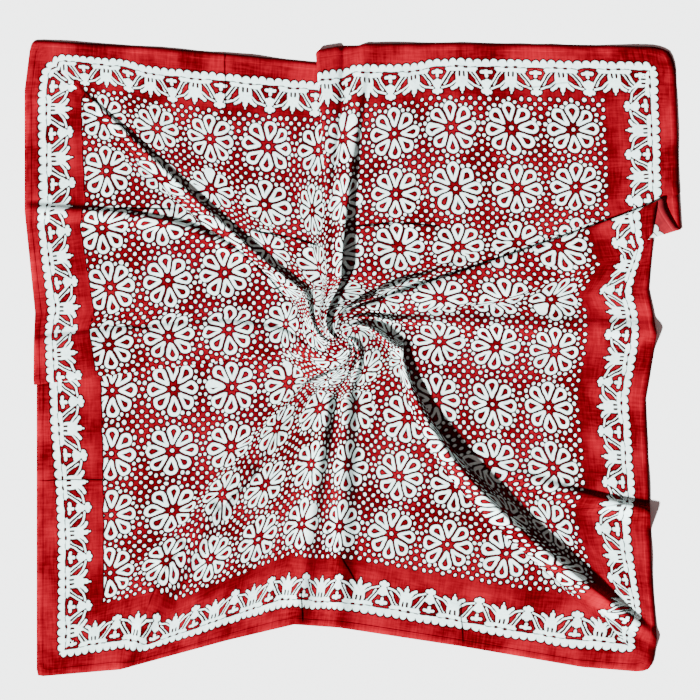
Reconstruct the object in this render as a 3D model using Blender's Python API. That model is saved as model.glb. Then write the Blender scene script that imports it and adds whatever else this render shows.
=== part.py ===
"""Square batik scarf laid flat on its face, pinched and twisted at the middle so that folds run out to the hem.

Metres, +Z up. The cloth is a closed sheet: its flat parts lie on z = 0, its pressed pleats are three layers deep
and its standing folds and the twisted middle rise above them. The origin is under the middle of its outline.
"""

import math

import bpy
import numpy as np

# Sizes of the cut cloth and of how it lies, in millimetres and degrees.
CUT_SIDE = 900.0
THICKNESS = 1.2
LAYER_STEP = 1.7
TWIST_X = -12.4
TWIST_Y = 26.1
GATHER_RADIUS = 77.0
KNOT_HEIGHT = 20.0
TWIST_TURN = 110.0
PLEAT_MARGIN = 5.0
SHALLOW_PLEAT = 9.0

# Steps of the mesh: along the rays outside the gather, inside it, and across one standing fold.
OUTER_STEPS = 12
GATHER_STEPS = 8
RIDGE_STEPS = 8
WIDEST_STEP = 70.0

# One row for each section of the cloth, going clockwise from the top left corner. hem_x and hem_y are where the
# hem lies and turn is where the section meets the gather, clockwise from the top. cut_place is the section's
# place along the hem of the flat cloth, and cut_turn and cut_reach are its place there at the edge of the gather.
# bow is how far the section bends sideways at half its length, clockwise positive.
SECTION_COLUMNS = ("name", "hem_x", "hem_y", "turn", "cut_place", "cut_turn", "cut_reach", "bow")
SECTIONS = (
    ("corner_top_left", -389, 397, 312, 0, 306, 144, 0),
    ("fold_top_left", -358, 394, 321, 46, 324, 160, -12),
    ("panel_top_left", -239, 387, 333, 183, 341, 184, 0),
    ("panel_top", -127, 377, 340, 296, 343, 192, 0),
    ("pleat_top", -44, 376, 347, 434, 355, 184, 2),
    ("ridge_top", 6, 392, 354, 500, 3, 172, 5),
    ("panel_top_middle", 134, 394, 7, 636, 12, 167, 0),
    ("panel_top_right", 283, 390, 13, 788, 15, 166, 0),
    ("corner_top_right", 401, 388, 18, 900, 17, 166, 0),
    ("panel_right_top", 405, 285, 24, 1006, 20, 164, 0),
    ("ridge_right_top", 406, 220, 31, 1078, 24, 162, 0),
    ("pleat_right", 393, 198, 47, 1170, 64, 122, 1),
    ("hem_right_top", 369, 87, 62, 1285, 78, 124, 0),
    ("swell_right", 379, 32, 73, 1346, 88, 124, 0),
    ("hem_right_middle", 367, -50, 80, 1432, 97, 126, 20),
    ("pleat_right_low", 371, -184, 88, 1573, 101, 128, 56),
    ("hem_right_low", 374, -264, 93, 1650, 105, 130, 48),
    ("ridge_bottom_right", 378, -350, 102, 1745, 126, 132, 37),
    ("corner_bottom_right", 370, -390, 118, 1800, 146, 138, 20),
    ("panel_bottom_right", 286, -383, 132, 1886, 154, 149, 0),
    ("panel_bottom", 135, -357, 152, 2042, 163, 160, 0),
    ("ridge_bottom", -16, -334, 174, 2202, 178, 172, 0),
    ("swell_bottom", -72, -330, 193, 2286, 194, 172, 0),
    ("panel_bottom_left", -156, -350, 203, 2408, 200, 169, 0),
    ("ridge_bottom_left", -288, -386, 213, 2577, 214, 160, 8),
    ("corner_bottom_left", -392, -395, 226, 2700, 229, 154, 0),
    ("hem_left_low", -392, -204, 243, 2896, 239, 155, 0),
    ("pleat_left", -394, -32, 256, 3155, 274, 141, 0),
    ("hem_left", -394, 58, 276, 3256, 285, 145, 10),
    ("ridge_left", -407, 184, 296, 3382, 297, 146, 50),
    ("hem_left_top", -407, 334, 305, 3533, 303, 145, 8),
)

# One row for each fold: the spare cloth in it and the width of its foot, at the hem and at the gather, its height
# at both and, for a pleat, how far the hem of its upper layer stands outside that of the lower one. Spare cloth
# below nothing means a fold that runs out before that end. A pleat has the next panel lying over the last.
FOLD_COLUMNS = ("name", "kind", "spare_hem", "spare_in", "foot_hem", "foot_in", "rise_hem", "rise_in", "step")
FOLDS = (
    ("fold_top_left", "ridge", 0, 56, 22, 28, 0, 19, 0),
    ("pleat_top", "pleat", 54, -24, 0, 0, 0, 0, 15),
    ("ridge_top", "ridge", 0, 50, 16, 26, 0, 24, 0),
    ("ridge_right_top", "ridge", 0, 24, 18, 18, 0, 10, 0),
    ("pleat_right", "pleat", 76, 88, 0, 0, 0, 0, -27),
    ("swell_right", "ridge", 13, 20, 46, 30, 8, 8, 0),
    ("pleat_right_low", "ridge", 16, -30, 26, 20, 8, -12, 0),
    ("ridge_bottom_right", "ridge", 12, 66, 30, 26, 4, 31, 0),
    ("ridge_bottom", "ridge", 10, 34, 44, 28, 5, 14, 0),
    ("swell_bottom", "ridge", 20, 36, 50, 32, 8, 13, 0),
    ("ridge_bottom_left", "ridge", 12, 50, 30, 26, 4, 17, 0),
    ("pleat_left", "pleat", 104, 82, 0, 0, 0, 0, 4),
    ("ridge_left", "ridge", 11, 28, 30, 20, 6, 9, 0),
)


def mix(a, b, f):
    return a + (b - a) * f


def soft_step(f):
    f = min(1.0, max(0.0, f))
    return f * f * (3 - 2 * f)


def heading(degrees):
    """The direction that far clockwise from +Y."""
    return np.array([math.sin(math.radians(degrees)), math.cos(math.radians(degrees))])


def hem_of_cut(place):
    """A point of the flat cloth's hem, clockwise from its top left corner."""
    side, along = divmod(place % (4 * CUT_SIDE), CUT_SIDE)
    half = CUT_SIDE / 2
    corner, way = (
        ((-half, half), (1, 0)),
        ((half, half), (0, -1)),
        ((half, -half), (-1, 0)),
        ((-half, -half), (0, 1)),
    )[int(side)]
    return np.array(corner) + along * np.array(way)


def across(line):
    """The direction clockwise across a line that runs outwards."""
    line = line / np.linalg.norm(line)
    return np.array([line[1], -line[0]])


def profile(fold, out):
    """A fold's cross-section at the part out of the way to the hem, as rows of sideways, height and cloth used."""
    spare = max(0.0, mix(fold["spare_in"], fold["spare_hem"], out))
    if fold["kind"] == "ridge":
        foot = mix(fold["foot_in"], fold["foot_hem"], out)
        rise = max(0.0, mix(fold["rise_in"], fold["rise_hem"], out))
        even = np.linspace(0, 1, 61)
        side = (even - 0.5) * foot
        height = rise * np.sin(math.pi * even) ** 2
        length = np.concatenate([[0], np.cumsum(np.hypot(np.diff(side), np.diff(height)))])
        steps = np.linspace(0, length[-1], RIDGE_STEPS + 1)
        side = np.interp(steps, length, side)
        height = np.interp(steps, length, height)
        used = np.linspace(-0.5, 0.5, RIDGE_STEPS + 1) * (foot + spare)
        return np.stack([side, height, used], axis=1)
    depth = spare / 2
    bend = min(0.9, depth / 4)
    side = np.array([-PLEAT_MARGIN, depth - 3, depth, depth - 3, 3, 0, 3, depth + 1, depth + 2 * PLEAT_MARGIN])
    height = np.array([0, 0, 0.5, 1, 1, 1.5, 2, 2, 0]) * LAYER_STEP
    side[[2, 5]] += np.array([bend, -bend])
    length = np.concatenate([[0], np.cumsum(np.abs(np.diff(side)))])
    used = length - length[5]
    folded = soft_step(depth / SHALLOW_PLEAT)
    level = np.linspace(side[0], side[-1], len(side))
    side = mix(level, side, folded)
    used = mix(level, used, folded)
    return np.stack([side, height * folded, used], axis=1)


def columns_of_cloth():
    """For each column of the mesh: its section, its fold's place in the cross-section, or how far to the next."""
    folds = {row[0]: dict(zip(FOLD_COLUMNS, row)) for row in FOLDS}
    rows = [dict(zip(SECTION_COLUMNS, row)) for row in SECTIONS]
    columns = []
    for i, row in enumerate(rows):
        way = hem_point(rows[(i + 1) % len(rows)]) - hem_point(rows[i - 1])
        row["hem_way"] = way / np.linalg.norm(way)
    for i, row in enumerate(rows):
        fold = folds.get(row["name"])
        count = len(profile(fold, 1.0)) if fold else 1
        columns += [(i, fold, k, 0.0) for k in range(count)]
        following = rows[(i + 1) % len(rows)]
        gap = math.dist(hem_point(row), hem_point(following))
        between = max(1, round(gap / WIDEST_STEP))
        columns += [(i, None, -1, k / between) for k in range(1, between)]
    return rows, folds, columns


def hem_point(row):
    return np.array([row["hem_x"], row["hem_y"]], float)


def section_line(row, out):
    """Where a section lies and where it is on the flat cloth, with the sideways directions of both."""
    hem = hem_point(row)
    start = np.array([TWIST_X, TWIST_Y]) + GATHER_RADIUS * heading(row["turn"])
    side = across(hem - start)
    bow = row["bow"] * math.sin(math.pi * out)
    place = mix(start, hem, out) + bow * side
    cut_hem = hem_of_cut(row["cut_place"])
    cut_start = row["cut_reach"] * heading(row["cut_turn"])
    cut_side = across(cut_hem - cut_start)
    cut = mix(cut_start, cut_hem, out) + bow * cut_side
    along_hem = np.array(row["hem_way"])
    side = mix(side, along_hem, out**8)
    return place, side, cut, cut_side


def point_in_fold(row, fold, index, out):
    """Laid x, y and z and flat x and y of one point of a fold's cross-section."""
    place, side, cut, cut_side = section_line(row, out)
    sideways, height, used = profile(fold, out)[index]
    if fold["kind"] == "pleat":
        part = (0, 0.45, 0.5, 0.55, 0.95, 1, 1, 1, 1)[index]
        outward = np.array([-side[1], side[0]])
        place = place + outward * fold["step"] * (part - 0.5) * out**6
    gathered = np.array([TWIST_X, TWIST_Y]) + GATHER_RADIUS * heading(
        row["turn"] + math.degrees(sideways / GATHER_RADIUS)
    )
    start = section_line(row, 0.0)[0]
    curl = (gathered - start - sideways * side) * (1 - out) ** 4
    laid = place + sideways * side + curl
    if out == 1.0:
        flat = hem_of_cut(row["cut_place"] + used)
    else:
        flat = cut + used * cut_side
    return np.array([*laid, height, *flat])


def point_of_cloth(rows, folds, column, out):
    """A point of the cloth outside the gather."""
    i, fold, index, between = column
    if fold:
        return point_in_fold(rows[i], fold, index, out)
    row, following = rows[i], rows[(i + 1) % len(rows)]
    ends = []
    for one, last in ((row, True), (following, False)):
        its_fold = folds.get(one["name"])
        if its_fold:
            ends.append(point_in_fold(one, its_fold, -1 if last else 0, out))
        else:
            place, _, cut, _ = section_line(one, out)
            ends.append(np.array([*place, 0.0, *cut]))
    return mix(ends[0], ends[1], between)


def inside_gather(edge, inward):
    """A point of the cloth inside the gather, on the way from its edge to the twisted middle."""
    middle = np.array([TWIST_X, TWIST_Y])
    reach = edge[:2] - middle
    turn = math.degrees(math.atan2(reach[0], reach[1])) - TWIST_TURN * inward**2
    laid = middle + np.linalg.norm(reach) * (1 - inward) * heading(turn)
    height = edge[2] * (1 - inward**1.5) + KNOT_HEIGHT * soft_step(inward) * (1 - 0.15 * inward)
    return np.array([*laid, height, *(edge[3:] * (1 - inward))])


def laid_sheet():
    """The middle surface of the cloth, as rings of points from its hem to the middle, and the middle's point."""
    rows, folds, columns = columns_of_cloth()
    rings = []
    for step in range(OUTER_STEPS + 1):
        out = 1 - step / OUTER_STEPS
        rings.append([point_of_cloth(rows, folds, column, out) for column in columns])
    edge = rings[-1]
    for step in range(1, GATHER_STEPS):
        inward = step / GATHER_STEPS
        rings.append([inside_gather(point, inward) for point in edge])
    middle = inside_gather(edge[0], 1.0)
    return np.array(rings), middle


def ways_up(rings, middle):
    """The direction of the cloth's face at each point, turned towards straight up inside the gather."""
    laid = rings[:, :, :3]
    inner = np.broadcast_to(middle[:3], laid[-1:].shape)
    padded = np.concatenate([laid[:1], laid, inner])
    along = padded[2:] - padded[:-2]
    sideways = np.roll(laid, -1, axis=1) - np.roll(laid, 1, axis=1)
    up = np.cross(along, sideways)
    up /= np.maximum(np.linalg.norm(up, axis=2, keepdims=True), 1e-9)
    for ring in range(OUTER_STEPS + 1, len(rings)):
        straight = min(1.0, 2.0 * (ring - OUTER_STEPS) / GATHER_STEPS)
        up[ring] = mix(up[ring], np.array([0.0, 0.0, 1.0]), straight)
        up[ring] /= np.linalg.norm(up[ring], axis=1, keepdims=True)
    return up


def build_scarf():
    rings, middle = laid_sheet()
    up = ways_up(rings, middle)
    half = THICKNESS / 2
    count = rings.shape[1]
    face = rings[:, :, :3] + up * half
    back = rings[:, :, :3] - up * half
    top = middle[:3] + np.array([0, 0, half])
    under = middle[:3] - np.array([0, 0, half])
    points = np.concatenate([face.reshape(-1, 3), back.reshape(-1, 3), [top, under]])
    points[:, 2] += half
    low, high = points[:, :2].min(axis=0), points[:, :2].max(axis=0)
    points[:, :2] -= (low + high) / 2
    points[:, 2] -= points[:, 2].min()
    layer = rings.shape[0] * count
    faces = []
    for ring in range(rings.shape[0] - 1):
        for k in range(count):
            a, b = ring * count + k, ring * count + (k + 1) % count
            faces.append((a, a + count, b + count, b))
            faces.append((layer + a, layer + b, layer + b + count, layer + a + count))
    last = (rings.shape[0] - 1) * count
    for k in range(count):
        a, b = k, (k + 1) % count
        faces.append((a, b, layer + b, layer + a))
        faces.append((last + b, last + a, 2 * layer))
        faces.append((layer + last + a, layer + last + b, 2 * layer + 1))
    mesh = bpy.data.meshes.new("scarf_cloth")
    mesh.from_pydata((points / 1000).tolist(), [], faces)
    mesh.validate()
    scarf = bpy.data.objects.new("scarf_cloth", mesh)
    bpy.context.collection.objects.link(scarf)
    return scarf


def cloth_material():
    material = bpy.data.materials.new("dyed_cotton")
    material.use_nodes = True
    shader = material.node_tree.nodes["Principled BSDF"]
    shader.inputs["Base Color"].default_value = (0.55, 0.02, 0.03, 1.0)
    shader.inputs["Roughness"].default_value = 0.85
    return material


for thing in list(bpy.data.objects):
    bpy.data.objects.remove(thing)
scarf = build_scarf()
scarf.data.materials.append(cloth_material())
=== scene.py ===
import math

import bmesh
import bpy
import numpy as np
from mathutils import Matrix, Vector, noise


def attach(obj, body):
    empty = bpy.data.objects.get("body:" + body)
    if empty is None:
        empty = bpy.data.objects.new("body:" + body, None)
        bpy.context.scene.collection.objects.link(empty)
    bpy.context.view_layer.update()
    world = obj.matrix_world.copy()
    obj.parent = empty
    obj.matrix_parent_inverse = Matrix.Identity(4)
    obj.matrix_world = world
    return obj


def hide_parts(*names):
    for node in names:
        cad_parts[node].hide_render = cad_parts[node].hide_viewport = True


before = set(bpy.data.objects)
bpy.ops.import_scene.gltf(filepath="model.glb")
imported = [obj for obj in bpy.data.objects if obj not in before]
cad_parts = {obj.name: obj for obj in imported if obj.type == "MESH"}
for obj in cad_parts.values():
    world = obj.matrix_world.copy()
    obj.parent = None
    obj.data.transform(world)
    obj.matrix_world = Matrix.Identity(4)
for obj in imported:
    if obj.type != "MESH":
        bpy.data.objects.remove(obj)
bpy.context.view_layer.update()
print("frame loaded")

# Laid cloth.
# Lengths in mm, angles in degrees clockwise from the top.
scarf = {
    "cutSide": 900.0,
    "thickness": 0.7,
    "layerStep": 1.7,
    "twistX": -12.4,
    "twistY": 26.1,
    "outlineX": -0.18,  # middle of the outline, which the frame puts at its origin
    "outlineY": 1.0,
    "gatherRadius": 77.0,
    "knotHeight": 20.0,
    "twistTurn": 110.0,
    "pleatMargin": 5.0,
    "shallowPleat": 9.0,
    "outerSteps": 50,
    "gatherSteps": 22,
    "ridgeSteps": 22,
    "pleatSteps": 36,
    "pleatMarks": (0, 0.07, 0.13, 0.19, 0.27, 0.35, 0.43, 0.53, 0.66, 0.83, 1),  # shares of its steps
    "pleatHems": (0, 0, 0.06, 0.62, 0.7, 1, 0.8),  # how far along its step each layer's hem stands
    "pleatSoftness": 2,
    "bowSkew": 0.72,  # under 1 brings a bow nearer the gather
    "hemPull": 8,  # the higher, the nearer the hem a fold starts to follow it
    "roomBefore": 0.42,  # shares of the gap to the next fold that a fold may spread over
    "roomAfter": 0.55,
    "roomOpen": 0.92,  # the same where the neighbour isn't a fold
    "cornerPull": 0.42,  # how deep and how far a corner is rounded, for its size
    "cornerReach": 1.5,
    "panelStep": 9.5,
}

# A row for each section of the cloth, clockwise from the top left corner: where its hem lies, where it
# meets the gather, its place along the cut hem, its turn and reach on the cut cloth there, and its bow.
# A section with no place on the cut takes what cloth its neighbours leave it.
sectionColumns = ("name", "hemX", "hemY", "turn", "cutPlace", "cutTurn", "cutReach", "bow")
sections = (
    ("foldTopLeft", -399, 397, 316, 0, 321, 160, -10),
    ("panelTopLeft", -239, 387, 333, 183, 341, 184, 0),
    ("panelTop", -127, 377, 340, 296, 343, 192, 0),
    ("pleatTop", -44, 376, 347, 434, 355, 184, 2),
    ("ridgeTop", 18, 392, 354, 512, 3, 172, -3),
    ("panelTopMiddle", 134, 393, 7, 636, 12, 167, 0),
    ("panelTopRight", 283, 390, 13, 788, 15, 166, 0),
    ("cornerTopRight", 401, 388, 18, 900, 17, 166, 0),
    ("panelRightTop", 405, 285, 24, 1006, 20, 164, 0),
    ("ridgeRightTop", 406, 220, 31, 1078, 24, 162, 0),
    ("ridgeRight", 406.5, 213, 39, None, 0, 0, 0),
    ("pleatRight", 393, 198, 47, 1170, 64, 122, 1),
    ("hemRightTop", 369, 87, 67, 1285, 81, 125, 0),
    ("swellRight", 379, 32, 73, 1346, 88, 124, 0),
    ("hemRightMiddle", 365, -50, 80, 1432, 97, 126, 28),
    ("pleatRightLow", 371, -196, 88, 1583, 101, 128, 66),
    ("hemRightLow", 373, -268, 93, 1652, 105, 130, 58),
    ("ridgeBottomRight", 379, -348, 102, 1743, 126, 132, 48),
    ("cornerBottomRight", 372, -390, 118, 1800, 146, 138, 26),
    ("panelBottomRight", 286, -383, 132, 1886, 154, 149, 0),
    ("panelBottom", 135, -357, 152, 2042, 163, 160, 0),
    ("ridgeBottom", -16, -334, 174, 2202, 178, 172, 0),
    ("swellBottom", -72, -330, 193, 2286, 194, 172, 0),
    ("panelBottomLeft", -156, -350, 203, 2408, 200, 169, 0),
    ("ridgeBottomLeft", -288, -386, 213, 2577, 214, 160, 8),
    ("cornerBottomLeft", -392, -395, 226, 2700, 229, 154, 0),
    ("hemLeftLow", -392, -204, 243, 2896, 239, 155, 0),
    ("pleatLeft", -394, -32, 256, 3155, 274, 141, 0),
    ("hemLeft", -394, 58, 283, 3256, 289, 146, 10),
    ("ridgeLeft", -407, 184, 296, 3382, 297, 146, 50),
    ("hemLeftTop", -407, 334, 305, 3533, 303, 145, 8),
)

# A row for each fold: spare cloth and width of foot at the hem and at the gather, height at the hem, halfway
# and at the gather, how far it leans clockwise for its height and, for a pleat, how far the upper layer's hem
# stands outside the lower one's. Only a pleat uses its spare cloth, and only a ridge its foot and lean.
foldColumns = (
    "name", "kind", "spareHem", "spareIn", "footHem", "footIn",
    "riseHem", "riseHalf", "riseIn", "lean", "step",
)
folds = (
    ("foldTopLeft", "ridge", 0, 0, 12, 24, -3, 6, 6, 0.9, 0),
    ("pleatTop", "pleat", 54, -24, 0, 0, 1, 1.5, 2, 0, 15),
    ("ridgeTop", "ridge", 0, 0, 22, 26, 0.5, 8, 17, 0.4, 0),
    ("ridgeRight", "ridge", 0, 0, 12, 18, -34, -10, 13, 0.2, 0),
    ("pleatRight", "pleat", 76, 80, 0, 0, 2, 3, 8, 0, -27),
    ("swellRight", "ridge", 0, 0, 46, 34, 5, 3.5, 5, 0, 0),
    ("pleatRightLow", "ridge", 0, 0, 36, 20, 10, 0.5, -12, -0.5, 0),
    ("ridgeBottomRight", "ridge", 0, 0, 30, 26, 2, 17, 8, -0.25, 0),
    ("ridgeBottom", "ridge", 0, 0, 44, 28, 5, 8, 11, 0.3, 0),
    ("swellBottom", "ridge", 0, 0, 50, 32, 6, 8, 11, 0, 0),
    ("ridgeBottomLeft", "ridge", 0, 0, 30, 26, 5, 8, 11, 0.3, 0),
    ("pleatLeft", "pleat", 104, 82, 0, 0, 0.5, 0.8, 1, 0, 4),
    ("ridgeLeft", "ridge", 0, 0, 30, 22, 5, 6, 1, 0.3, 0),
)

# How far each corner of the hem is rounded.
corners = {"foldTopLeft": 9, "cornerTopRight": 22, "cornerBottomRight": 14, "cornerBottomLeft": 6}


def mix(a, b, f):
    return a + (b - a) * f


def softStep(f):
    f = min(1.0, max(0.0, f))
    return f * f * (3 - 2 * f)


def heading(degrees):  # the direction that far clockwise from the top
    return np.array([math.sin(math.radians(degrees)), math.cos(math.radians(degrees))])


def hemOfCut(place):  # a point of the flat hem, clockwise from its top left corner
    side, along = divmod(place % (4 * scarf["cutSide"]), scarf["cutSide"])
    half = scarf["cutSide"] / 2
    corner, way = (
        ((-half, half), (1, 0)),
        ((half, half), (0, -1)),
        ((half, -half), (-1, 0)),
        ((-half, -half), (0, 1)),
    )[int(side)]
    return np.array(corner) + along * np.array(way)


def across(line):  # clockwise across a line that runs outwards
    line = line / np.linalg.norm(line)
    return np.array([line[1], -line[0]])


def hemPoint(row):
    return np.array([row["hemX"], row["hemY"]], float)


def gatherPoint(row, turned=0.0):
    middle = np.array([scarf["twistX"], scarf["twistY"]])
    return middle + scarf["gatherRadius"] * heading(row["turn"] + turned)


def riseAt(fold, out):
    even = mix(fold["riseIn"], fold["riseHem"], out)
    swell = fold["riseHalf"] - (fold["riseIn"] + fold["riseHem"]) / 2
    return max(0.0, even + 4 * out * (1 - out) * swell)


def ridgeProfile(fold, out, room):  # rows of sideways and height across a ridge
    foot = min(mix(fold["footIn"], fold["footHem"], out), 2 * min(room))
    rise = riseAt(fold, out)
    even = np.linspace(0, 1, 121)
    height = rise * np.sin(math.pi * even) ** 2
    side = (even - 0.5) * foot + fold["lean"] * height
    length = np.concatenate([[0], np.cumsum(np.hypot(np.diff(side), np.diff(height)))])
    steps = np.linspace(0, length[-1], scarf["ridgeSteps"] + 1)
    return np.stack([np.interp(steps, length, side), np.interp(steps, length, height)], axis=1)


def pleatProfile(fold, out, room):  # rows of sideways and height across a pleat's three layers
    margin = scarf["pleatMargin"]
    tail = min(2 * margin, room[1] / 3)
    depth = min(max(0.0, mix(fold["spareIn"], fold["spareHem"], out)) / 2, room[1] - tail)
    roll = min(riseAt(fold, out), depth / 3)
    bend = min(0.9, depth / 4)
    step = scarf["layerStep"]
    points = np.array([
        (-margin, 0),
        (-0.6 * margin, 0.25 * roll),
        (-0.15 * margin, 0),
        (depth - 3, 0),
        (depth + bend, step / 2),
        (depth - 3, step),
        (3 + roll / 2, step + roll / 3),
        (-bend, 1.5 * step + roll / 2),
        (3 + roll / 2, 2 * step + roll),
        (depth + 0.35 * tail, 2 * step),
        (depth + tail, 0),
    ])
    length = np.concatenate([[0], np.cumsum(np.linalg.norm(np.diff(points, axis=0), axis=1))])
    count = scarf["pleatSteps"] + 1
    steps = np.interp(np.linspace(0, 1, count), scarf["pleatMarks"], length)
    side, height = np.interp(steps, length, points[:, 0]), np.interp(steps, length, points[:, 1])
    for _ in range(scarf["pleatSoftness"]):
        side[1:-1] = (side[:-2] + 2 * side[1:-1] + side[2:]) / 4
        height[1:-1] = (height[:-2] + 2 * height[1:-1] + height[2:]) / 4
    folded = softStep(depth / scarf["shallowPleat"])
    level = np.linspace(-margin, depth + tail, count)
    return np.stack([mix(level, side, folded), height * folded], axis=1)


def sectionLine(row, out):
    start, hem = gatherPoint(row), hemPoint(row)
    side = across(hem - start)
    bow = row["bow"] * math.sin(math.pi * out ** scarf["bowSkew"])
    place = mix(start, hem, out) + bow * side
    cut = None
    if row["cutPlace"] is not None:
        cutHem = hemOfCut(row["cutPlace"])
        cutStart = row["cutReach"] * heading(row["cutTurn"])
        cut = mix(cutStart, cutHem, out) + bow * across(cutHem - cutStart)
    return place, side, cut


def foldLine(row, fold, out, room):  # all points of one fold's cross-section
    place, straight, _ = sectionLine(row, out)
    start, startSide, _ = sectionLine(row, 0.0)
    marks = scarf["pleatMarks"]
    shape = (ridgeProfile if fold["kind"] == "ridge" else pleatProfile)(fold, out, room)
    points = []
    for k, (sideways, height) in enumerate(shape):
        here = place
        way = row["hemAfter" if sideways > 0 else "hemBefore"]
        if fold["kind"] == "pleat":
            # The lower layer carries the last panel's hem on, the middle layer turns it and the upper
            # one starts the next panel's.
            share = k / (len(shape) - 1)
            way = mix(row["hemLower"], row["hemAfter"], np.interp(share, [marks[4], marks[6]], [0, 1]))
        side = mix(straight, way, out ** scarf["hemPull"])
        if fold["kind"] == "pleat":
            outward = np.array([-side[1], side[0]])
            stages = [0, marks[4], marks[5], marks[6], marks[7], marks[8], 1]
            part = np.interp(share, stages, scarf["pleatHems"])
            here = place + outward * fold["step"] * (part - 0.5) * out**1.5
        turned = gatherPoint(row, math.degrees(sideways / scarf["gatherRadius"]))
        curl = (turned - start - sideways * startSide) * (1 - out) ** 4
        laid = here + sideways * side + curl
        points.append([laid[0], laid[1], height])
    return np.array(points)


def roomBeside(rows, foldOf, places, i):  # how far a fold may spread before it meets its neighbours
    room = []
    for step, share in ((-1, scarf["roomBefore"]), (1, scarf["roomAfter"])):
        k = (i + step) % len(rows)
        gap = math.dist(places[i], places[k])
        room.append(gap * (share if rows[k]["name"] in foldOf else scarf["roomOpen"]))
    return room


def roundedCorners(ring, rows, places, out):
    middle = np.array([scarf["twistX"], scarf["twistY"]])
    for row, place in zip(rows, places):
        size = corners.get(row["name"], 0) * max(0.0, 10 * out - 9)
        if size:
            near = np.linalg.norm(ring[:, :2] - place, axis=1)
            pull = scarf["cornerPull"] * size * np.clip(1 - near / (scarf["cornerReach"] * size), 0, 1) ** 2
            ring[:, :2] += pull[:, None] * (middle - place) / math.dist(middle, place)
    return ring


def clothRing(rows, foldOf, out):  # one ring of the cloth, round from the top left corner
    lines = [sectionLine(row, out) for row in rows]
    places = [line[0] for line in lines]
    ends, anchors, cuts, count = [], [], [], 0
    for i, row in enumerate(rows):
        fold = foldOf.get(row["name"])
        if fold:
            ends.append(foldLine(row, fold, out, roomBeside(rows, foldOf, places, i)))
        else:
            ends.append(np.array([[*places[i], 0.0]]))
        share = {"ridge": 0.5, "pleat": scarf["pleatMarks"][7]}[fold["kind"]] if fold else 0.0
        if row["cutPlace"] is not None:
            anchors.append(count + round(share * (len(ends[-1]) - 1)))
            cuts.append(lines[i][2])
        count += len(ends[-1]) + row["between"] - 1
    ring = []
    for i, row in enumerate(rows):
        ring += list(ends[i])
        first, last = ends[i][-1], ends[(i + 1) % len(rows)][0]
        ring += [mix(first, last, k / row["between"]) for k in range(1, row["between"])]
    ring = roundedCorners(np.array(ring), rows, places, out)
    # The cloth between two sections is shared out by its length along the ring.
    length = np.concatenate([[0], np.cumsum(np.linalg.norm(np.roll(ring, -1, axis=0) - ring, axis=1))])
    known = [length[k] for k in anchors] + [length[anchors[0]] + length[-1]]
    cuts = np.array([*cuts, cuts[0]])
    at = length[:-1] + length[-1] * (length[:-1] < known[0])
    flat = np.stack([np.interp(at, known, cuts[:, k]) for k in (0, 1)], axis=1)
    return np.hstack([ring, flat])


def insideGather(edge, inward):  # a ring on its way from the gather's edge to the middle
    middle = np.array([scarf["twistX"], scarf["twistY"]])
    reach = edge[:, :2] - middle
    turn = np.arctan2(reach[:, 0], reach[:, 1]) - math.radians(scarf["twistTurn"]) * inward**2
    length = np.linalg.norm(reach, axis=1) * (1 - inward)
    knot = scarf["knotHeight"] * softStep(inward) * (1 - 0.15 * inward)
    ring = np.empty_like(edge)
    ring[:, 0] = middle[0] + length * np.sin(turn)
    ring[:, 1] = middle[1] + length * np.cos(turn)
    ring[:, 2] = edge[:, 2] * (1 - inward**1.5) + knot
    ring[:, 3:] = edge[:, 3:] * (1 - inward)
    return ring


def laidRings():
    rows = [dict(zip(sectionColumns, row)) for row in sections]
    foldOf = {row[0]: dict(zip(foldColumns, row)) for row in folds}
    for i, row in enumerate(rows):
        following = rows[(i + 1) % len(rows)]
        gap = math.dist(hemPoint(row), hemPoint(following))
        row["hemAfter"] = (hemPoint(following) - hemPoint(row)) / gap
        following["hemBefore"] = row["hemAfter"]
        rows[(i + 2) % len(rows)]["hemLower"] = row["hemAfter"]  # a pleat's lower layer carries this on
        row["between"] = max(1, round(gap / scarf["panelStep"]))
    for row, following in zip(rows, rows[1:] + rows[:1]):
        if foldOf.get(following["name"], {}).get("kind") == "pleat":
            row["hemAfter"] = following["hemLower"]  # the hem runs straight on under a pleat
    steps = scarf["outerSteps"]
    rings = [clothRing(rows, foldOf, 1 - k / steps) for k in range(steps + 1)]
    edge = rings[-1]
    rings += [insideGather(edge, (k + 1) / scarf["gatherSteps"]) for k in range(scarf["gatherSteps"])]
    return np.array(rings)


swells = {"broad": 80.0, "broadRise": 2.6, "fine": 27.0, "fineRise": 0.9}


def swollen(rings):  # soft uneven swells, the same through all layers, so that no panel is quite flat
    for ring in rings:
        for point in ring:
            broad = Vector((point[0], point[1], 0)) / swells["broad"]
            fine = Vector((point[0], point[1], 40)) / swells["fine"]
            rise = max(0.0, noise.noise(broad) + 0.15) * swells["broadRise"]
            point[2] += rise + max(0.0, noise.noise(fine)) * swells["fineRise"]
    return rings


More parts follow.
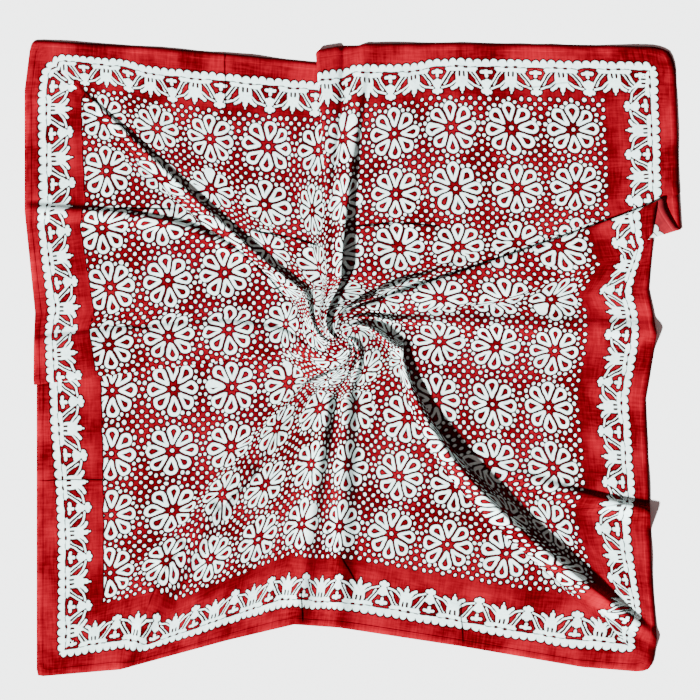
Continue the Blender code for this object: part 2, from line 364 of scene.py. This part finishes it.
def makeScarf():
    rings = swollen(laidRings())
    ringCount, columnCount = rings.shape[0], rings.shape[1]
    mesh = bpy.data.meshes.new("scarfSheet")
    bm = bmesh.new()
    bmesh.ops.create_grid(bm, x_segments=columnCount, y_segments=ringCount - 1, size=0.5)
    bm.verts.ensure_lookup_table()
    uvLayer = bm.loops.layers.uv.new("cut")
    half = scarf["cutSide"] / 2
    lift = scarf["thickness"] / 2
    for vert in bm.verts:
        ring, column = divmod(vert.index, columnCount + 1)
        x, y, z, u, v = rings[ring][column % columnCount]
        vert.co = Vector((x - scarf["outlineX"], y - scarf["outlineY"], z + lift)) / 1000
        for loop in vert.link_loops:
            loop[uvLayer].uv = ((u + half) / scarf["cutSide"], (v + half) / scarf["cutSide"])
    bmesh.ops.remove_doubles(bm, verts=bm.verts, dist=1e-6)
    bmesh.ops.recalc_face_normals(bm, faces=bm.faces)
    if sum(face.normal.z * face.calc_area() for face in bm.faces) < 0:
        bmesh.ops.reverse_faces(bm, faces=bm.faces)
    for face in bm.faces:
        face.smooth = True
    bm.to_mesh(mesh)
    bm.free()
    piece = bpy.data.objects.new("scarfSheet", mesh)
    bpy.context.collection.objects.link(piece)
    solid = piece.modifiers.new("thickness", "SOLIDIFY")
    solid.thickness = scarf["thickness"] / 1000
    solid.offset = 0
    solid.material_offset = 1
    solid.material_offset_rim = 0
    return piece


# Shader maths.
class Wire:
    def __init__(self, tree, socket):
        self.tree = tree
        self.socket = socket

    def math(self, operation, *others, clamp=False):
        settings = {"operation": operation, "use_clamp": clamp}
        return wire(self.tree, "ShaderNodeMath", 0, settings, dict(enumerate([self, *others])))

    def __add__(self, other):
        return self.math("ADD", other)

    def __radd__(self, other):
        return self.math("ADD", other)

    def __sub__(self, other):
        return self.math("SUBTRACT", other)

    def __rsub__(self, other):
        return (self * -1).math("ADD", other)

    def __mul__(self, other):
        return self.math("MULTIPLY", other)

    def __rmul__(self, other):
        return self.math("MULTIPLY", other)

    def __truediv__(self, other):
        return self.math("DIVIDE", other)

    def __neg__(self):
        return self * -1

    def __abs__(self):
        return self.math("ABSOLUTE")

    def least(self, other):
        return self.math("MINIMUM", other)

    def most(self, other):
        return self.math("MAXIMUM", other)

    def above(self, edge):
        return self.math("GREATER_THAN", edge)

    def below(self, edge):
        return self.math("LESS_THAN", edge)

    def rounded(self):
        return self.math("ROUND")

    def length(self, other):
        return (self * self + other * other).math("SQRT")


def node(tree, kind, settings=None, values=None):
    made = tree.nodes.new(kind)
    for name, value in (settings or {}).items():
        setattr(made, name, value)
    for name, value in (values or {}).items():
        if isinstance(value, Wire):
            tree.links.new(value.socket, made.inputs[name])
        else:
            made.inputs[name].default_value = value
    return made


def wire(tree, kind, output, settings=None, values=None):
    return Wire(tree, node(tree, kind, settings, values).outputs[output])


def wires(tree, kind, values):  # all outputs of a node that splits something
    made = node(tree, kind, values=values)
    return [Wire(tree, output) for output in made.outputs]


def smoothEdge(value, low, high):  # 0 at low, 1 at high
    settings = {"interpolation_type": "SMOOTHSTEP"}
    return wire(value.tree, "ShaderNodeMapRange", 0, settings, {0: value, 1: low, 2: high, 3: 0.0, 4: 1.0})


def noiseWire(tree, vector, scale, detail, output="Fac"):
    settings = {"noise_dimensions": "3D"}
    values = {"Vector": vector, "Scale": scale, "Detail": detail}
    return wire(tree, "ShaderNodeTexNoise", output, settings, values)


def blendColours(tree, factor, first, second):
    return wire(tree, "ShaderNodeMix", 2, {"data_type": "RGBA"}, {0: factor, 6: first, 7: second})


# Print. Lengths here are in 724ths of the cut side, which are 1.24 mm each.
flowers = {
    "across": 724.0,
    "pitch": 60.0,
    "firstX": 80.0,
    "firstY": 84.0,
    "count": 10,
    "leftCut": 57.0,
    "leftCutLow": 69.0,
    "cutRun": (60.0, 620.0),
    "leftDrift": 4.5,
    "driftRun": (300.0, 600.0),
    "driftReach": (150.0, 100.0),
    "petals": 8,
    "petalTip": 5.6,
    "tipSlant": 50.0,
    "petalGap": 0.75,
    "petalCentre": 19.0,
    "petalRadius": 7.0,
    "seedTip": 12.8,
    "seedCentre": 19.2,
    "seedRadius": 2.45,
    "eyeRadius": 2.3,
    "dotRadius": 2.15,
    "dotUneven": 1.3,
    "petalUneven": 1.8,
    "smeared": 0.015,  # share of the petals that are filled with wax
    "shift": 1.6,
    "turn": 0.14,
}

# Dots of one eighth of a flower's square, mirrored into the rest.
dots = (
    (30.0, 0.0),
    (27.2, 6.0),
    (22.9, 9.4),
    (30.0, 12.4),
    (23.6, 15.3),
    (30.0, 20.2),
    (20.9, 20.9),
    (25.2, 25.2),
    (30.0, 30.0),
)


def petalShape(along, aside):  # one petal, pointed at the flower's middle and round outside
    tip = math.radians(flowers["tipSlant"])
    half = math.pi / flowers["petals"]
    point = aside * math.cos(tip) - (along - flowers["petalTip"]) * math.sin(tip)
    gap = aside * math.cos(half) - along * math.sin(half) + flowers["petalGap"]
    body = point.most(gap).most(along - flowers["petalCentre"])
    end = ((along - flowers["petalCentre"]).length(aside) - flowers["petalRadius"]).most(gap * 0.6)
    return body.least(end)


def dropShape(along, aside, tip, centre, radius):  # a pointed drop, tip inwards
    slant = math.asin(radius / (centre - tip))
    wedge = (aside * math.cos(slant) - (along - tip) * math.sin(slant)).most(along - centre)
    return ((along - centre).length(aside) - radius).least(wedge)


def flowerField(tree, x, y, wobble):
    # The block stops short on the left, through the first flowers, and it wandered to the left lower down.
    further = flowers["leftCutLow"] - flowers["leftCut"]
    outside = flowers["leftCut"] + smoothEdge(y, *flowers["cutRun"]) * further - x
    drifted = smoothEdge(y, *flowers["driftRun"]) * smoothEdge(x, *flowers["driftReach"])
    x = x + drifted * flowers["leftDrift"]
    pitch, last = flowers["pitch"], flowers["count"] - 1
    column = ((x - flowers["firstX"]) / pitch).rounded().most(0).least(last)
    row = ((y - flowers["firstY"]) / pitch).rounded().most(0).least(last)
    localX = x - flowers["firstX"] - column * pitch
    localY = y - flowers["firstY"] - row * pitch
    cell = wire(tree, "ShaderNodeCombineXYZ", 0, values={0: column, 1: row})
    chance = wire(tree, "ShaderNodeTexWhiteNoise", "Color", {"noise_dimensions": "3D"}, {"Vector": cell})
    shiftX, shiftY, turn = wires(tree, "ShaderNodeSeparateColor", {0: chance})
    flowerX = localX + (shiftX - 0.5) * flowers["shift"]
    flowerY = localY + (shiftY - 0.5) * flowers["shift"]
    step = 2 * math.pi / flowers["petals"]
    reach = flowerX.length(flowerY)
    angle = flowerY.math("ARCTAN2", flowerX) + (turn - 0.5) * flowers["turn"]
    petal = (angle / step).rounded()
    aslant = angle - petal * step
    along, aside = reach * aslant.math("COSINE"), abs(reach * aslant.math("SINE"))
    # The petal to the left is both the last one and the first one, so it is counted once.
    petalNumber = petal.math("PINGPONG", 3.97)
    petalSeed = {"Vector": cell, "W": petalNumber}
    petalChance = wire(tree, "ShaderNodeTexWhiteNoise", "Value", {"noise_dimensions": "4D"}, petalSeed)
    shorter = along - (petalChance - 0.5) * flowers["petalUneven"]
    seed = dropShape(shorter, aside, flowers["seedTip"], flowers["seedCentre"], flowers["seedRadius"])
    filled = petalChance.above(1 - flowers["smeared"]) * 6
    blossom = petalShape(shorter, aside).most(-seed - filled).least(reach - flowers["eyeRadius"])
    mirroredX, mirroredY = abs(localX), abs(localY)
    far, near = mirroredX.most(mirroredY), mirroredX.least(mirroredY)
    scattered = None
    for dotX, dotY in dots:
        one = (far - dotX).length(near - dotY)
        scattered = one if scattered is None else scattered.least(one)
    field = blossom.least(scattered - flowers["dotRadius"] - (wobble - 0.5) * flowers["dotUneven"])
    return field.most(outside)


border = {
    "beadPitch": 8.4,
    "beadRadius": 4.4,
    "beadCentre": 4.3,
    "bandFoot": 8.0,
    "topEdge": 15.0,
    "leftEdge": 13.0,
    "leftEdgeLow": 21.5,
    "leftRun": (440.0, 590.0),
    "rightEdge": 18.0,
    "bottomEdge": 17.0,
    "corner": 8.0,
    "topLeftCorner": 26.0,
    "pitch": 50.4,
    "topFirst": 8.4,
    "topSlipAt": 350.0,
    "topSlip": 25.5,
    "bottomFirst": 37.2,
    "leftFirst": 0.0,
    "rightFirst": 9.9,
}

# Strokes of half a repeat of the border, mirrored into the other half: the line that each is measured from,
# its two ends and its half width. The first number runs along the hem and the second inwards.
strokeColumns = ("line", "fromX", "fromY", "toX", "toY", "halfWidth")
waxedStrokes = (
    ("palmette", 0.0, 10.6, 14.5, 10.6, 2.6),
    ("palmette", 0.0, 16.0, 0.0, 21.5, 6.6),
    ("palmette", 0.0, 22.0, 0.0, 29.6, 2.7),
    ("palmette", 0.0, 30.0, 0.0, 33.4, 1.1),
    ("palmette", 3.0, 22.0, 6.6, 27.2, 2.2),
    ("palmette", 6.6, 27.2, 9.8, 29.4, 2.0),
    ("palmette", 5.0, 20.6, 12.0, 26.4, 1.3),
    ("palmette", 12.0, 26.4, 20.0, 28.8, 1.4),
    ("palmette", 9.0, 13.6, 17.6, 25.4, 1.2),
    ("palmette", 12.4, 12.4, 21.0, 24.6, 1.3),
    ("cross", 0.0, 13.0, 4.6, 13.2, 2.0),
    ("cross", 0.0, 11.6, 0.0, 16.6, 2.1),
    ("cross", 0.0, 22.0, 0.0, 31.0, 3.0),
    ("cross", 3.0, 22.8, 2.0, 26.6, 2.4),
    ("cross", 0.0, 31.6, 3.2, 32.0, 2.6),
    ("cross", 0.0, 33.0, 0.0, 33.6, 2.4),
)
dyedStrokes = (
    ("cross", 0.0, 9.2, 7.6, 9.2, 1.1),
    ("cross", 8.4, 12.6, 8.4, 12.8, 1.6),
    ("palmette", 3.8, 8.3, 5.6, 8.3, 0.8),
    ("palmette", 2.2, 13.4, 2.2, 16.4, 0.6),
    ("palmette", 8.2, 16.4, 12.4, 21.8, 1.6),
)


def strokeShape(stroke, x, q, y):
    stroke = dict(zip(strokeColumns, stroke))
    place = x if stroke["line"] == "cross" else q
    runX, runY = stroke["toX"] - stroke["fromX"], stroke["toY"] - stroke["fromY"]
    relX, relY = place - stroke["fromX"], y - stroke["fromY"]
    along = ((relX * runX + relY * runY) * (1 / (runX**2 + runY**2))).math("ADD", 0.0, clamp=True)
    return (relX - along * runX).length(relY - along * runY) - stroke["halfWidth"]


def borderShape(x, y):
    across = flowers["across"]
    low, right = y.above(across / 2), x.above(across / 2)
    lowerLeft = smoothEdge(y, *border["leftRun"])
    leftEdge = border["leftEdge"] + lowerLeft * (border["leftEdgeLow"] - border["leftEdge"])
    fromSide = x.least(across - x) - leftEdge - right * (border["rightEdge"] - leftEdge)
    fromTop = y.least(across - y) - border["topEdge"] - low * (border["bottomEdge"] - border["topEdge"])
    upright = fromSide.below(fromTop)
    bend = border["corner"] + (1 - low) * (1 - right) * (border["topLeftCorner"] - border["corner"])
    roundedDepth = bend - (bend - fromSide).most(0).length((bend - fromTop).most(0))
    depth = roundedDepth + (fromSide.least(fromTop) - bend).most(0)
    slip = x.above(border["topSlipAt"]) * border["topSlip"]
    topPlace = x + slip - border["topFirst"]
    bottomPlace = x - border["bottomFirst"]
    levelPlace = topPlace + low * (bottomPlace - topPlace)
    uprightPlace = y - border["leftFirst"] - right * (border["rightFirst"] - border["leftFirst"])
    place = levelPlace + upright * (uprightPlace - levelPlace)
    pitch = border["pitch"]
    x = abs(place - (place / pitch).rounded() * pitch)
    q = pitch / 2 - x
    bead = place / border["beadPitch"]
    beadX = (bead - bead.rounded()) * border["beadPitch"]
    waxed = beadX.length(depth - border["beadCentre"]) - border["beadRadius"]
    waxed = waxed.least((border["beadCentre"] - depth - 1.2).most(depth - border["bandFoot"]))
    for stroke in waxedStrokes:
        waxed = waxed.least(strokeShape(stroke, x, q, depth))
    dyed = None
    for stroke in dyedStrokes:
        one = strokeShape(stroke, x, q, depth)
        dyed = one if dyed is None else dyed.least(one)
    return waxed.most(-dyed)


dye = {
    "creep": 0.65,  # how far the dye creeps under the wax, in the print's units
    "brightRed": (0.23, 0.003, 0.01, 1.0),
    "deepRed": (0.04, 0.0001, 0.0008, 1.0),
    "darkEdge": (0.01, 0.0003, 0.0006, 1.0),
    "white": (0.70, 0.91, 0.88, 1.0),
    "greyWhite": (0.42, 0.56, 0.58, 1.0),
    "palerBack": (0.13, 0.02, 0.025, 1.0),
    "roughness": 0.9,
}

# Heights in mm. The hem's width and the weave's turns are in the print's units.
relief = {"weave": 0.02, "weaveTurns": 7.0, "slub": 0.12, "hem": 0.5, "hemWidth": 7.0, "creaseWaver": 5.0}

# Creases too sharp for the mesh: both ends where they lie, in mm, and their width and rise. One face is slow
# and the other is quick.
creaseColumns = ("fromX", "fromY", "toX", "toY", "width", "rise")
creases = (
    (0, 162, 52, 167, 6, 3.2),
    (52, 167, 108, 163, 6, 3.0),
    (-127, 158, -77, 149, 6, 3.2),
    (-77, 149, -42, 139, 6, 3.2),
    (-392, -153, -295, -151, 4, 1.2),
    (-159, 390, -157, 300, 5, 1.2),
    (135, -300, 136, -358, 5, 1.4),
    (272, -190, 372, -178, 5, 1.5),
    (-333, 184, -216, 185, 6, 2.6),
    (-64, -282, -62, -330, 5, 1.6),
    (-115, -139, -161, -184, 6, 3.4),
    (-161, -184, -205, -228, 6, 4.2),
    (-205, -228, -238, -266, 6, 4.0),
    (-238, -266, -268, -343, 6, 1.6),
    (122, 50, 372, 42, 9, 0.6),
    (-330, 40, -240, 36, 5, 0.9),
    (180, 330, 300, 345, 6, 0.8),
    (-40, -200, 10, -290, 6, 1.0),
)


def pressedCreases(tree):
    place = wire(tree, "ShaderNodeTexCoord", "Object")
    x, y, _ = (one * 1000 for one in wires(tree, "ShaderNodeSeparateXYZ", {0: place}))
    waver = noiseWire(tree, place, 30.0, 2.0) - 0.5
    total = None
    for row in creases:
        crease = dict(zip(creaseColumns, row))
        runX, runY = crease["toX"] - crease["fromX"], crease["toY"] - crease["fromY"]
        length = math.hypot(runX, runY)
        relX, relY = x - crease["fromX"], y - crease["fromY"]
        along = (relX * runX + relY * runY) * (1 / length**2)
        aside = (relX * runY - relY * runX) * (1 / length) + waver * relief["creaseWaver"]
        fade = smoothEdge(abs(along - 0.5), 0.55, 0.3)
        # A slow rise on one side of the line and a quick fall on the other.
        slow = smoothEdge(aside, 4 * crease["width"], 0.0)
        quick = smoothEdge(aside, -0.5 * crease["width"], 0.0)
        one = slow * quick * fade * crease["rise"]
        total = one if total is None else total + one
    return total


# What the hand does to the print, and the sizes of the unevenness, which count as waves over the cut side.
handWork = {
    "waver": 3.4,
    "waverScale": 55.0,
    "slip": 4.5,
    "slipLeft": (100.0, 135.0),
    "slipRight": (490.0, 450.0),
    "slipDown": (185.0, 160.0),
    "dotScale": 80.0,
    "grainScale": 300.0,
    "mottleScale": 14.0,
    "threadScale": 38.0,
    "threadStretch": 9.0,
    "greyScale": 40.0,
    "slubScale": 120.0,
}


def clothMaterial(name, paler):
    material = bpy.data.materials.new(name)
    material.use_nodes = True
    tree = material.node_tree
    shader = tree.nodes["Principled BSDF"]
    cut = wire(tree, "ShaderNodeUVMap", 0, {"uv_map": "cut"})
    across = flowers["across"]
    cutX, cutY, _ = wires(tree, "ShaderNodeSeparateXYZ", {0: cut})
    plainX = cutX * across
    plainY = (1.0 - cutY) * across
    # The block is printed by hand, so every line wanders a little.
    waver = noiseWire(tree, cut, handWork["waverScale"], 1.5, "Color")
    waverX, waverY, _ = wires(tree, "ShaderNodeSeparateColor", {0: waver})
    x = plainX + (waverX - 0.5) * handWork["waver"]
    y = plainY + (waverY - 0.5) * handWork["waver"]
    # The first rows were printed a little low, left of the middle.
    slipAcross = smoothEdge(plainX, *handWork["slipLeft"]) * smoothEdge(plainX, *handWork["slipRight"])
    y = y - slipAcross * smoothEdge(plainY, *handWork["slipDown"]) * handWork["slip"]
    wobble = noiseWire(tree, cut, handWork["dotScale"], 0.0)
    field = flowerField(tree, x, y, wobble)
    waxed = field.least(borderShape(x, y))
    grain = noiseWire(tree, cut, handWork["grainScale"], 2.0)
    edge = waxed + dye["creep"] + (grain - 0.5) * 0.5
    mottle = smoothEdge(noiseWire(tree, cut, handWork["mottleScale"], 5.0), 0.35, 0.68)
    # Threads of uneven thickness take the dye unevenly, along and across.
    streaks = None
    stretch = handWork["threadStretch"]
    for way in ((stretch, 1.0, 1.0), (1.0, stretch, 1.0)):
        drawn = wire(tree, "ShaderNodeVectorMath", 0, {"operation": "MULTIPLY"}, {0: cut, 1: way})
        one = noiseWire(tree, drawn, handWork["threadScale"], 4.0)
        streaks = one if streaks is None else streaks + one
    mottle = mottle * 0.72 + smoothEdge(streaks, 0.75, 1.3) * 0.36
    red = blendColours(tree, mottle, dye["deepRed"], dye["brightRed"])
    inField = smoothEdge(field, 14.0, 4.0)
    red = blendColours(tree, inField * 0.35, red, dye["deepRed"])
    greyed = smoothEdge(noiseWire(tree, cut, handWork["greyScale"], 4.0), 0.4, 0.75) * 0.5
    greyed = greyed + smoothEdge(grain, 0.45, 0.75) * 0.4
    white = blendColours(tree, greyed, dye["white"], dye["greyWhite"])
    outlined = blendColours(tree, smoothEdge(edge, 0.9, 2.0), dye["darkEdge"], red)
    colour = blendColours(tree, smoothEdge(edge, -0.35, 0.55), white, outlined)
    if paler:
        colour = blendColours(tree, paler, colour, dye["palerBack"])
    tree.links.new(colour.socket, shader.inputs["Base Color"])
    shader.inputs["Roughness"].default_value = dye["roughness"]
    shader.inputs["Specular IOR Level"].default_value = 0.0
    # Plain weave with slubs, the turned hem and the pressed creases.
    turns = relief["weaveTurns"]
    weave = (plainX * turns).math("SINE") * (plainY * turns).math("SINE") * relief["weave"]
    slub = (streaks + noiseWire(tree, cut, handWork["slubScale"], 3.0)) * relief["slub"]
    hemDepth = plainX.least(plainY).least(across - plainX).least(across - plainY)
    turnedHem = smoothEdge(hemDepth, relief["hemWidth"], relief["hemWidth"] - 0.8) * relief["hem"]
    height = weave + slub + turnedHem + pressedCreases(tree)
    bump = wire(tree, "ShaderNodeBump", 0, values={"Strength": 1.0, "Distance": 0.001, "Height": height})
    tree.links.new(bump.socket, shader.inputs["Normal"])
    return material


scarfPiece = makeScarf()
scarfPiece.data.materials.append(clothMaterial("dyedCotton", 0.0))
scarfPiece.data.materials.append(clothMaterial("dyedCottonBack", 0.3))
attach(scarfPiece, "root")
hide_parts("scarf_cloth")
print("scarf laid", len(scarfPiece.data.polygons), "faces")

# Floor, lights and camera.
studio = {
    "floorSide": 16.0,
    "floorColour": (0.92, 0.92, 0.92, 1.0),
    "viewWidth": 0.87,
    "viewX": -0.0023,
    "viewY": 0.0102,
    "viewHeight": 2.0,
    "sunTurn": 225.0,  # where the light comes from, clockwise from the top
    "sunRise": 32.0,
    "sunPower": 26.0,
    "sunAngle": 4.0,
    "worldLight": 0.22,
    "worldColour": (1.0, 0.70, 0.68, 1.0),  # the cloth throws its red into the shadows
    "sunColour": (0.965, 1.0, 1.0),
}


def makeStudio():
    mesh = bpy.data.meshes.new("floor")
    bm = bmesh.new()
    bmesh.ops.create_grid(bm, x_segments=1, y_segments=1, size=studio["floorSide"] / 2)
    bm.to_mesh(mesh)
    bm.free()
    floor = bpy.data.objects.new("floor", mesh)
    bpy.context.collection.objects.link(floor)
    material = bpy.data.materials.new("paleFloor")
    material.use_nodes = True
    shader = material.node_tree.nodes["Principled BSDF"]
    shader.inputs["Base Color"].default_value = studio["floorColour"]
    shader.inputs["Roughness"].default_value = 0.9
    mesh.materials.append(material)
    sun = bpy.data.lights.new("sun", "SUN")
    sun.energy = studio["sunPower"]
    sun.angle = math.radians(studio["sunAngle"])
    sun.color = studio["sunColour"]
    lamp = bpy.data.objects.new("sun", sun)
    bpy.context.collection.objects.link(lamp)
    side = heading(studio["sunTurn"]) * math.cos(math.radians(studio["sunRise"]))
    towards = Vector((side[0], side[1], math.sin(math.radians(studio["sunRise"]))))
    lamp.rotation_euler = towards.to_track_quat("Z", "Y").to_euler()
    world = bpy.data.worlds.new("studio")
    world.use_nodes = True
    background = world.node_tree.nodes["Background"]
    background.inputs["Color"].default_value = studio["worldColour"]
    background.inputs["Strength"].default_value = studio["worldLight"]
    bpy.context.scene.world = world
    lens = bpy.data.cameras.new("camera")
    lens.type = "ORTHO"
    lens.ortho_scale = studio["viewWidth"]
    camera = bpy.data.objects.new("camera", lens)
    camera.location = (studio["viewX"], studio["viewY"], studio["viewHeight"])
    bpy.context.collection.objects.link(camera)
    bpy.context.scene.camera = camera


makeStudio()
print("studio set")
